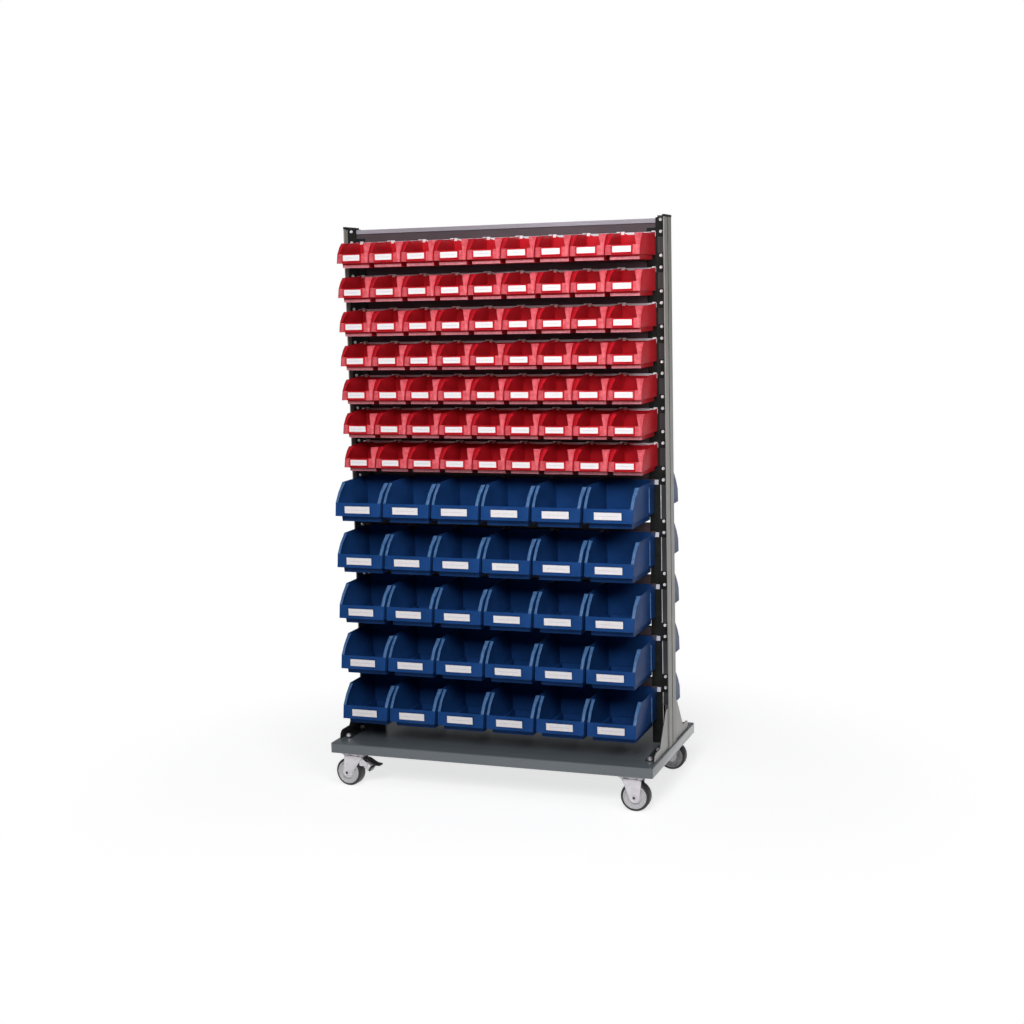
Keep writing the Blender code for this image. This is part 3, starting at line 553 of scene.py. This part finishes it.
def model_bin(name, levels, rim_drop, foot, mouth_half, sag, label, wall):
    """One bin, its hook plane at y = 0 and its foot at z = 0.

    A level is (height, half width, depth, corner radius). The foot is (height, step in at the
    sides, step back in front, slope of its front), the sag of the rear wall is (half width,
    depth), and the label pocket is (half width, bottom, top, how far it stands out). Without a
    mouth_half the whole flat of the front is open above the panel.
    """
    foot_height, foot_side, foot_front, foot_slope = foot
    base_z, base_half, base_depth, base_radius = levels[0]
    begin()
    bpy.ops.mesh.primitive_plane_add(size=1, location=(0, -base_depth / 2, base_z))
    bin_piece = bpy.context.object
    bin_piece.name = name
    bin_piece.scale = (2 * base_half, base_depth, 1)
    bpy.ops.object.transform_apply(location=True, rotation=True, scale=True)
    bpy.ops.object.mode_set(mode="EDIT")
    pick("VERT", lambda at, way: at.y < -base_depth / 2)
    bpy.ops.mesh.bevel(offset=base_radius, segments=4, affect="VERTICES")
    z, half, depth, radius = levels[0]
    for next_z, next_half, next_depth, next_radius in levels[1:]:
        pick("FACE", lambda at, way: abs(at.z - z) < close and abs(way.z) > 0.9)
        bpy.ops.mesh.extrude_region_move(TRANSFORM_OT_translate={"value": (0, 0, next_z - z)})
        round_corners(half, -depth, next_z, next_radius / radius)
        set_ring(next_z, half, next_half, -depth, -next_depth)
        z, half, depth, radius = next_z, next_half, next_depth, next_radius
    # The mouth: the rim falls towards the front, the top and the face between the cheeks are open
    pick("VERT", lambda at, way: abs(at.z - z) < close)
    bpy.ops.mesh.normals_make_consistent(inside=False)
    pick("FACE", lambda at, way: abs(at.z - z) < close)
    bpy.ops.mesh.delete(type="ONLY_FACE")
    panel_top = levels[1][0]
    if mouth_half:
        cut_faces(
            lambda at, way: way.y < -0.2 and at.z > panel_top + 0.001,
            [((x, 0, 0), (1, 0, 0)) for x in (mouth_half, -mouth_half)],
        )
    pick("FACE", lambda at, way: way.y < -0.2 and at.z > panel_top + 0.001
         and abs(at.x) < 0.002)
    bpy.ops.mesh.delete(type="FACE")
    mesh = bmesh.from_edit_mesh(bin_piece.data)
    for vert in mesh.verts:
        if abs(vert.co.z - z) < close:
            vert.co.z -= rim_drop * min(1.0, -vert.co.y / depth)
    bmesh.update_edit_mesh(bin_piece.data)
    # The rear wall sags in a smooth curve between the claws
    if sag:
        sag_half, sag_depth = sag
        shares = (1.0, 0.85, 0.7, 0.52, 0.3, 0.0, -0.3, -0.52, -0.7, -0.85, -1.0)
        cut_faces(
            lambda at, way: abs(at.y) < close,
            [((share * sag_half, 0, 0), (1, 0, 0)) for share in shares],
        )
        mesh = bmesh.from_edit_mesh(bin_piece.data)
        for vert in mesh.verts:
            share = abs(vert.co.x) / sag_half
            if abs(vert.co.y) < close and vert.co.z > z - close and share < 1:
                vert.co.z -= sag_depth * (0.5 + 0.5 * math.cos(math.pi * share ** 1.6))
        bmesh.update_edit_mesh(bin_piece.data)
    # The foot: a smaller tub under the floor, set back behind the front panel
    foot_half = base_half - foot_side
    cut_faces(
        lambda at, way: abs(at.z - base_z) < close and abs(way.z) > 0.9,
        (((foot_half, 0, 0), (1, 0, 0)), ((-foot_half, 0, 0), (1, 0, 0)),
         ((0, foot_front - base_depth, 0), (0, 1, 0)), ((0, -foot_side, 0), (0, 1, 0))),
    )
    pick("FACE", lambda at, way: abs(at.z - base_z) < close and abs(way.z) > 0.9
         and abs(at.x) < 0.01 and foot_front - base_depth < at.y < -foot_side)
    bpy.ops.mesh.extrude_region_move(TRANSFORM_OT_translate={"value": (0, 0, -foot_height)})
    pick("VERT", lambda at, way: at.z < base_z - foot_height / 2 and at.y < -base_depth / 2)
    move(y=foot_slope)
    cut_faces(
        lambda at, way: at.z < base_z - close and abs(way.z) < 0.9,
        (((0, 0, foot_height * 0.6), (0, 0, 1)),),
    )
    # The label pocket: a raised frame on the front panel
    label_half, label_low, label_high, proud = label
    cut_faces(
        lambda at, way: way.y < -0.9 and base_z < at.z < panel_top
        and at.y < -base_depth * 0.9,
        (((label_half, 0, 0), (1, 0, 0)), ((-label_half, 0, 0), (1, 0, 0)),
         ((0, 0, label_low), (0, 0, 1)), ((0, 0, label_high), (0, 0, 1))),
    )
    pick("FACE", lambda at, way: way.y < -0.9 and label_low < at.z < label_high
         and abs(at.x) < label_half and at.y < -base_depth * 0.9)
    bpy.ops.mesh.extrude_region_move(TRANSFORM_OT_translate={"value": (0, -proud, 0)})
    bpy.ops.mesh.select_mode(type="FACE")
    bpy.ops.mesh.inset(thickness=0.0018, depth=-0.0016)
    bpy.ops.mesh.select_all(action="SELECT")
    bpy.ops.mesh.normals_make_consistent(inside=False)
    modify("SOLIDIFY", thickness=wall, offset=-1)
    soften(0.0005, 1, angle_limit=math.radians(40))
    smooth()
    return bin_piece


def take(piece):
    """Leave edit mode and have only this piece selected and in hand."""
    begin()
    piece.select_set(True)
    bpy.context.view_layer.objects.active = piece


def weld_in(piece, others):
    """Join the other pieces into this one."""
    take(piece)
    for other in others:
        other.select_set(True)
    bpy.ops.object.join()


def add_claws(bin_piece, height, places, width, steel):
    """Two steel claws that reach from the rear wall over the rail's lip and down behind it."""
    sheet, step = 0.0022, 0.0003
    claws = []
    for x in places:
        claw = block(
            "claw", (x - width / 2, -sheet, height - 0.006), (x + width / 2, 0.0, height + step)
        )
        pick("FACE", lambda at, way: way.z > 0.9)
        bpy.ops.mesh.extrude_region_move(TRANSFORM_OT_translate={"value": (0, 0, sheet)})
        pick("FACE", lambda at, way: way.y > 0.9 and at.z > height + step)
        bpy.ops.mesh.extrude_region_move(TRANSFORM_OT_translate={"value": (0, 0.0030, 0)})
        bpy.ops.mesh.extrude_region_move(TRANSFORM_OT_translate={"value": (0, 0.0025, 0)})
        pick("FACE", lambda at, way: way.z < -0.9 and at.y > 0.0035)
        bpy.ops.mesh.extrude_region_move(TRANSFORM_OT_translate={"value": (0, 0, -0.0083)})
        leave_edit()
        claw.data.materials.append(steel)
        claws.append(claw)
    weld_in(bin_piece, claws)


def label_card(name, half, low, high, depth):
    """One card with a fine rule across it, its face towards the front."""
    card = block(name, (-half, -depth, low), (half, 0.0006 - depth, high))
    leave_edit()
    card.data.materials.append(card_paper)
    middle, rule_half = (low + high) / 2, half * 0.72
    rule = block(
        "rule",
        (-rule_half, -depth - 0.0001, middle - 0.0005),
        (rule_half, -depth, middle + 0.0003),
    )
    leave_edit()
    rule.data.materials.append(card_ink)
    weld_in(card, [rule])
    return card


def make_row(piece, count, pitch):
    """Set the piece side by side along the row, centred."""
    take(piece)
    piece.location.x = -pitch * (count - 1) / 2
    bpy.ops.object.transform_apply(location=True, rotation=True, scale=True)
    modify("ARRAY", count=count, use_relative_offset=False, use_constant_offset=True,
           constant_offset_displace=(pitch, 0, 0))


def copy_to(piece, name, place, turn, body):
    """A copy of the piece, turned about the vertical, set in its place and riding on the body."""
    take(piece)
    bpy.ops.object.duplicate(linked=False)
    copy = bpy.context.object
    copy.name = name
    copy.location = place
    copy.rotation_euler = (0, 0, turn)
    bpy.ops.object.transform_apply(location=True, rotation=True, scale=True)
    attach(copy, body)
    return copy


def hang(piece, name, row):
    """A copy of the piece hung in the place of this row, turned about for the back."""
    low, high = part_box(row)
    back = "_back_" in row
    place = ((low.x + high.x) / 2, hook_plane if back else -hook_plane, low.z)
    return copy_to(piece, name, place, math.pi if back else 0, row)


def shade_plastic(material, deep, pale, scale):
    """Give the plastic its cloudy tint, uneven gloss and fine texture."""
    tint_by(material, add_noise(material, scale), deep, pale)
    roughen_by(material, add_noise(material, 60.0), 0.30, 0.44)
    bump_by(material, add_noise(material, 700.0, 2.0), 0.08, 0.0003)


def give_painted_sheen(piece, material, test):
    """Give the faces that pass the test the paler material, which paints a sheen on them."""
    piece.data.materials.append(material)
    for face in piece.data.polygons:
        if test(face.center, face.normal):
            face.material_index = len(piece.data.materials) - 1


red_plastic = finish("red_polypropylene", (0.56, 0.012, 0.024), 0.36, 0.0, 0.12)
shade_plastic(red_plastic, (0.50, 0.010, 0.018), (0.58, 0.014, 0.025), 16.0)
# A paler red that paints a sheen on faces turned towards the light
red_painted_sheen = finish("red_polypropylene_painted_sheen", (0.64, 0.10, 0.12), 0.5, 0.0, 0.2)
shade_plastic(red_painted_sheen, (0.57, 0.070, 0.090), (0.70, 0.125, 0.150), 90.0)
# A paler pink again: a painted highlight on the lit lower edge of the foot
red_painted_highlight = finish("red_polypropylene_painted_highlight", (0.86, 0.28, 0.32), 0.55, 0.0, 0.3)
shade_plastic(red_painted_highlight, (0.80, 0.24, 0.28), (0.92, 0.34, 0.39), 140.0)
# The claws' near-white zinc: partly the zinc's own colour, partly a painted highlight
claw_highlight_zinc = finish("claw_highlight_zinc", (0.86, 0.84, 0.86), 0.4, 0.2)
tint_by(claw_highlight_zinc, add_noise(claw_highlight_zinc, 80.0), (0.80, 0.78, 0.80), (0.90, 0.88, 0.90))
card_paper = finish("label_card", (0.84, 0.80, 0.82), 0.55, 0.0, 0.2)
tint_by(card_paper, add_noise(card_paper, 220.0), (0.82, 0.78, 0.80), (0.87, 0.84, 0.86))
card_ink = finish("label_rule", (0.45, 0.45, 0.48), 0.6)
tint_by(card_ink, add_noise(card_ink, 500.0), (0.40, 0.40, 0.43), (0.62, 0.62, 0.65))

red_low, red_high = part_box("bins_front_red_1")
red_pitch = (red_high.x - red_low.x + 0.001) / 9
red_half = (red_pitch - 0.001) / 2
red_rim, red_claw_x = 0.078, 0.0445
red_bin = model_bin(
    "red_bin",
    levels=(
        (0.013, red_half - 0.0005, 0.170, 0.006),
        (0.040, red_half - 0.0003, 0.167, 0.010),
        (0.060, red_half - 0.0002, 0.157, 0.016),
        (0.072, red_half - 0.0001, 0.146, 0.021),
        (red_rim, red_half, 0.130, 0.024),
    ),
    rim_drop=0.008,
    foot=(0.013, 0.0075, 0.027, 0.002),
    mouth_half=None,
    sag=(0.0475, 0.0125),
    label=(0.0305, 0.0175, 0.0382, 0.0045),
    wall=0.002,
)
red_bin.data.materials.append(red_plastic)
# The panel beside the label and the right-hand cheek take a painted sheen, and the foot's lower
# edge a painted highlight
give_painted_sheen(red_bin, red_painted_sheen, lambda at, way: way.y < -0.25 and at.y < -0.1 and (
    (at.z < 0.041 and abs(at.x) > 0.0312) or (at.z > 0.041 and at.x > 0)))
give_painted_sheen(red_bin, red_painted_highlight, lambda at, way: way.y < -0.25 and at.y < -0.1 and at.z < 0.0075)
add_claws(red_bin, red_rim, (-red_claw_x, red_claw_x), 0.009, claw_highlight_zinc)
make_row(red_bin, 9, red_pitch)
red_card = label_card("red_card", half=0.0262, low=0.0198, high=0.0362, depth=0.1722)
make_row(red_card, 9, red_pitch)
for side in ("front", "back"):
    for number in range(1, 8):
        row = f"bins_{side}_red_{number}"
        bins = hang(red_bin, f"red_bins_{side}_{number}", row)
        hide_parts(row)
        hang(red_card, f"red_labels_{side}_{number}", row)
for master in (red_bin, red_card):
    bpy.data.objects.remove(master)

# Large bins: injection-moulded polypropylene as well, in blue and half as wide again, with
# narrower cheeks and a stiffening rib on each side in a paler painted sheen, and claws behind in
# the rails' dark painted shade
blue_plastic = finish("blue_polypropylene", (0.012, 0.056, 0.20), 0.42, 0.0, 0.05)
shade_plastic(blue_plastic, (0.010, 0.050, 0.180), (0.014, 0.062, 0.222), 12.0)
blue_painted_sheen = finish("blue_polypropylene_painted_sheen", (0.07, 0.16, 0.34), 0.5, 0.0, 0.3)
shade_plastic(blue_painted_sheen, (0.05, 0.13, 0.29), (0.09, 0.19, 0.39), 90.0)
blue_low, blue_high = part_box("bins_front_blue_1")
blue_pitch = (blue_high.x - blue_low.x + 0.001) / 6
blue_half = (blue_pitch - 0.001) / 2
blue_rim, blue_claw_x = 0.115, 0.0685
blue_bin = model_bin(
    "blue_bin",
    levels=(
        (0.0185, blue_half - 0.0045, 0.229, 0.002),
        (0.058, blue_half - 0.0040, 0.223, 0.002),
        (0.086, blue_half - 0.0035, 0.203, 0.003),
        (blue_rim, blue_half - 0.0005, 0.170, 0.006),
    ),
    rim_drop=0.003,
    foot=(0.0185, 0.0095, 0.025, 0.004),
    mouth_half=blue_half - 0.0125,
    sag=None,
    label=(0.0420, 0.0260, 0.0500, 0.0012),
    wall=0.0022,
)
blue_bin.data.materials.append(blue_plastic)
# The cheeks beside the mouth and the side ribs get a paler blue that paints a sheen on them
give_painted_sheen(blue_bin, blue_painted_sheen, lambda at, way: way.y < -0.3 and at.z > 0.0585
      and at.y < -0.15 and abs(at.x) > blue_half - 0.016)
for side in (-1, 1):
    near, far = on_side(side, blue_half - 0.0035, blue_half - 0.0006)
    rib = block("side_rib", (near, -0.0615, 0.026), (far, -0.0585, 0.100))
    soften(0.0008)
    rib.data.materials.append(blue_painted_sheen)
    weld_in(blue_bin, [rib])
# Dark claws in the rails' steel: painted shade behind the large bins
add_claws(blue_bin, blue_rim, (-blue_claw_x, blue_claw_x), 0.012, spine_shade_steel)
make_row(blue_bin, 6, blue_pitch)
blue_card = label_card("blue_card", half=0.0398, low=0.0278, high=0.0482, depth=0.2292)
make_row(blue_card, 6, blue_pitch)
for side in ("front", "back"):
    for number in range(1, 6):
        row = f"bins_{side}_blue_{number}"
        bins = hang(blue_bin, f"blue_bins_{side}_{number}", row)
        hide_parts(row)
        hang(blue_card, f"blue_labels_{side}_{number}", row)
for master in (blue_bin, blue_card):
    bpy.data.objects.remove(master)

# Castors: a pressed plate bolted up under the tray, a ball race, a pressed fork and a moulded
# wheel centre with a rubber tyre; the two on the left carry a brake lever and its housing
castor_zinc = finish("castor_zinc", (0.74, 0.71, 0.75), 0.40, 0.25)
tint_by(castor_zinc, add_noise(castor_zinc, 60.0, 4.0), (0.69, 0.66, 0.70), (0.79, 0.76, 0.80))
roughen_by(castor_zinc, add_noise(castor_zinc, 120.0), 0.34, 0.5)
rubber = finish("tyre_black_rubber", (0.016, 0.016, 0.017), 0.6)
tint_by(rubber, add_noise(rubber, 150.0), (0.010, 0.010, 0.011), (0.022, 0.022, 0.024))
bump_by(rubber, add_noise(rubber, 800.0), 0.2, 0.0004)
wheel_plastic = finish("wheel_centre_plastic", (0.62, 0.61, 0.63), 0.4)
tint_by(wheel_plastic, add_noise(wheel_plastic, 90.0), (0.58, 0.57, 0.59), (0.66, 0.65, 0.67))
pedal_black = finish("pedal_black_enamel", (0.014, 0.014, 0.016), 0.35)
tint_by(pedal_black, add_noise(pedal_black, 200.0), (0.010, 0.010, 0.011), (0.020, 0.020, 0.022))
bump_by(pedal_black, add_noise(pedal_black, 900.0), 0.15, 0.0003)

tyre_low, tyre_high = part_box("castor_tyre_front_right")
rim_low, rim_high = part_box("castor_wheel_front_right")
fork_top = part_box("castor_fork_front_right")[1].z
plate_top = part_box("castor_plate_front_right")[1].z
axle_z = (tyre_low.z + tyre_high.z) / 2
tyre_radius = (tyre_high.z - tyre_low.z) / 2
rim_radius = (rim_high.z - rim_low.z) / 2
bore_radius = 0.0054
fit_gap = 0.0003
shoulder = 0.0045


def round_blank(name, radius, half, x=0.0, y=0.0, z=0.0, sides=64):
    """A round or many-sided blank that lies along Y, left in edit mode."""
    begin()
    bpy.ops.mesh.primitive_cylinder_add(
        vertices=sides, radius=radius, depth=2 * half,
        location=(x, y, z), rotation=(math.pi / 2, 0, 0),
    )
    blank = bpy.context.object
    blank.name = name
    bpy.ops.object.transform_apply(location=True, rotation=True, scale=True)
    bpy.ops.object.mode_set(mode="EDIT")
    return blank


def pick_flat_sides():
    """Select the round faces about the axle on both flat sides of the blank."""
    pick("FACE", lambda at, way: abs(way.y) > 0.99 and math.hypot(at.x, at.z - axle_z) < 0.001)


def turn_sides(steps):
    """Inset both flat sides step by step; each step is (towards the axle, outwards along it)."""
    for inwards, outwards in steps:
        pick_flat_sides()
        bpy.ops.mesh.inset(thickness=inwards, depth=outwards)


def bore(radius):
    """Open the middle of both flat sides and join the two rims."""
    pick_flat_sides()
    bpy.ops.mesh.delete(type="ONLY_FACE")
    pick("EDGE", lambda at, way: abs(way.y) < 0.1
         and math.hypot(at.x, at.z - axle_z) < radius + 0.0002)
    bpy.ops.mesh.bridge_edge_loops()


tyre = round_blank("tyre", tyre_radius, (tyre_high.y - tyre_low.y) / 2, z=axle_z)
pick("EDGE", lambda at, way: abs(way.y) < 0.1)
bpy.ops.mesh.bevel(offset=shoulder, segments=4, affect="EDGES")
turn_sides(((tyre_radius - shoulder - rim_radius - fit_gap, 0),))
bore(rim_radius + fit_gap)
soften(0.0004, 1, angle_limit=math.radians(50))
smooth(40)
tyre.data.materials.append(rubber)

# The wheel centre: a rim, a dished web and a raised hub on each side
wheel = round_blank("wheel", rim_radius, (rim_high.y - rim_low.y) / 2, z=axle_z)
turn_sides(((0.0042, 0), (0.0010, -0.0055), (0.0085, 0), (0.0010, 0.0045), (0.0060, 0.0006)))
turn_sides(((rim_radius - 0.0207 - bore_radius, 0),))
bore(bore_radius)
soften(0.0004, angle_limit=math.radians(40))
smooth()
wheel.data.materials.append(wheel_plastic)

# The plate, with its half of the ball race and four bolts
plate_half = 0.038
plate_foot, washer_foot = plate_top - 0.003, plate_top - 0.0042
race_foot = fork_top + 0.0005
neck_top = race_foot + 0.0035
in_the_middle, at_the_bolts = ((0, 0),), ((0.027, 0.027), (-0.027, 0.027))
plate = block("plate", (-plate_half, -plate_half, plate_foot), (plate_half, plate_half, plate_top))
pick("EDGE", lambda at, way: abs(way.z) > 0.9)
bpy.ops.mesh.bevel(offset=0.008, segments=5, affect="EDGES")
soften(0.0005)
plate_extras = []
for name, radius, low, high, sides, places in (
    ("race", 0.0240, neck_top, plate_foot, 40, in_the_middle),
    ("race_neck", 0.0215, race_foot, neck_top, 40, in_the_middle),
    ("washers", 0.0080, washer_foot, plate_foot, 20, at_the_bolts),
    ("bolts", 0.0066, plate_top - 0.0080, washer_foot, 6, at_the_bolts),
):
    for x, y in places:
        begin()
        bpy.ops.mesh.primitive_cylinder_add(
            vertices=sides, radius=radius, depth=high - low, location=(x, y, (low + high) / 2)
        )
        extra = bpy.context.object
        extra.name = name
        bpy.ops.object.transform_apply(location=True, rotation=True, scale=True)
        if y:
            modify("MIRROR", use_axis=(False, True, False))
        soften(0.0006)
        plate_extras.append(extra)
weld_in(plate, plate_extras)
smooth()
plate.data.materials.append(castor_zinc)


# The fork: two legs that taper to round noses, a crown with rounded ends, hex nuts on the axle
def model_fork(name, trail, crown_back, crown_front):
    """The crown over the swivel, and the legs, nuts and axle to weld to it.

    The axle lies behind the swivel by the trail.
    """
    leg_out, leg_in, leg_radius = 0.0210, 0.0185, 0.016
    middle = (crown_back + crown_front) / 2
    half = (crown_front - crown_back) / 2 - 0.001
    crown = block(name, (crown_back, -leg_out, fork_top - 0.0025), (crown_front, leg_out, fork_top))
    pick("EDGE", lambda at, way: abs(way.z) > 0.9)
    bpy.ops.mesh.bevel(offset=0.006, segments=4, affect="EDGES")
    soften(0.0008)
    crown.data.materials.append(castor_zinc)
    extras = []
    for side in (1, -1):
        leg = round_blank(
            "leg", leg_radius, (leg_out - leg_in) / 2,
            x=-trail, y=side * (leg_out + leg_in) / 2, z=axle_z, sides=32,
        )
        pick("VERT", lambda at, way: at.z > axle_z + 0.0005)
        bpy.ops.transform.resize(
            value=(half / 0.0157, 1, 0), center_override=(-trail, 0, fork_top - 0.001)
        )
        move(x=middle + trail)
        pick("FACE", lambda at, way: at.y * side > leg_out - close)
        bpy.ops.mesh.inset(thickness=0.0045, depth=0, use_even_offset=False)
        bpy.ops.mesh.inset(thickness=0.0010, depth=-0.0007, use_even_offset=False)
        soften(0.0005, angle_limit=math.radians(50))
        leg.data.materials.append(castor_zinc)
        nut = round_blank(
            "nut", 0.0072, 0.0021, x=-trail, y=side * (leg_out + 0.0021), z=axle_z, sides=6
        )
        soften(0.0006)
        nut.data.materials.append(castor_zinc)
        tip = round_blank(
            "axle_end", 0.0040, 0.0010, x=-trail, y=side * (leg_out + 0.0050), z=axle_z, sides=20
        )
        soften(0.0005)
        tip.data.materials.append(pedal_black)
        extras += [leg, nut, tip]
    axle = round_blank("axle", 0.005, leg_out, x=-trail, z=axle_z, sides=24)
    leave_edit()
    axle.data.materials.append(castor_zinc)
    extras.append(axle)
    return crown, extras


plain_fork, extras = model_fork("plain_fork", 0.008, -0.030, 0.030)
weld_in(plain_fork, extras)
smooth()

# The braked fork also carries the lever's pin between two ears, and the brake housing
pin_x, pin_z = 0.025, 0.0864
housing_tilt = math.radians(35)
braked_fork, extras = model_fork("braked_fork", 0.0235, -0.034, 0.030)
for side in (1, -1):
    near, far = on_side(side, 0.0150, 0.0178)
    ear = block("ear", (0.0165, near, 0.066), (0.0440, far, fork_top - 0.002))
    pick("VERT", lambda at, way: at.x > 0.04 and at.z > 0.08)
    move(z=-0.017)
    pick("EDGE", lambda at, way: abs(way.y) > 0.9)
    bpy.ops.mesh.bevel(offset=0.003, segments=3, affect="EDGES")
    soften(0.0004, 1, angle_limit=math.radians(50))
    ear.data.materials.append(castor_zinc)
    extras.append(ear)
pin = round_blank("pin", 0.003, 0.0190, x=pin_x, z=pin_z, sides=20)
soften(0.0005)
pin.data.materials.append(castor_zinc)
extras.append(pin)
for name, half_size, rounding, segments, place, material in (
    ("housing", (0.0085, 0.0140, 0.0095), 0.0018, 3, (0.0405, 0, 0.0645), castor_zinc),
    ("buffer", (0.0030, 0.0120, 0.0085), 0.0012, 2, (0.0500, 0, 0.0575), pedal_black),
):
    box = block(name, [-half for half in half_size], half_size)
    soften(rounding, segments)
    box.location = place
    box.rotation_euler = (0, housing_tilt, 0)
    bpy.ops.object.transform_apply(location=True, rotation=True, scale=True)
    box.data.materials.append(material)
    extras.append(box)
weld_in(braked_fork, extras)
smooth()

# The lever: a bar that runs out over the housing and levels off, with its barrel and its shoe
lever = block("lever", (0.0215, -0.0130, 0.0850), (0.0330, 0.0130, 0.0890))
pick("FACE", lambda at, way: way.x > 0.9)
for reach, drop in (
    (0.006, 0.0006), (0.010, 0.0050), (0.012, 0.0066), (0.006, 0.0022), (0.016, 0.0010)
):
    bpy.ops.mesh.extrude_region_move(TRANSFORM_OT_translate={"value": (reach, 0, -drop)})
pick("EDGE", lambda at, way: abs(way.z) > 0.9 and at.x > 0.08)
bpy.ops.mesh.bevel(offset=0.006, segments=4, affect="EDGES")
soften(0.0008)
barrel = round_blank("barrel", 0.0052, 0.0130, x=pin_x, z=pin_z, sides=28)
soften(0.0005)
shoe = block("shoe", (0.0216, -0.0110, 0.0620), (0.0262, 0.0110, 0.0860))
soften(0.0008)
weld_in(lever, [barrel, shoe])
smooth()
lever.data.materials.append(pedal_black)

for corner in ("front_left", "rear_left", "front_right", "rear_right"):
    low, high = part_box("castor_plate_" + corner)
    swivel = Vector(((low.x + high.x) / 2, (low.y + high.y) / 2, 0))
    low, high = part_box("castor_tyre_" + corner)
    hub = Vector(((low.x + high.x) / 2, (low.y + high.y) / 2, 0))
    heading = math.atan2(swivel.y - hub.y, swivel.x - hub.x)
    braked = corner.endswith("left")
    fork = braked_fork if braked else plain_fork
    placed = [
        (plate, "plate", swivel, "rack", "castor_plate_", "bright_zinc"),
        (fork, "fork", swivel, "swivel_" + corner, "castor_fork_", "bright_zinc"),
        (wheel, "wheel", hub, "roller_" + corner, "castor_wheel_", "wheel_plastic"),
        (tyre, "tyre", hub, "roller_" + corner, "castor_tyre_", "tyre_rubber"),
    ]
    if braked:
        placed.append(
            (lever, "lever", swivel, "brake_" + corner, "brake_pedal_", "pedal_plastic")
        )
    for master, kind, place, body, node, slot in placed:
        turn = 0 if kind == "plate" else heading
        piece = copy_to(master, f"{kind}_{corner}", place, turn, body)
        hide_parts(node + corner)
for master in (plate, plain_fork, braked_fork, wheel, tyre, lever):
    bpy.data.objects.remove(master)

begin()
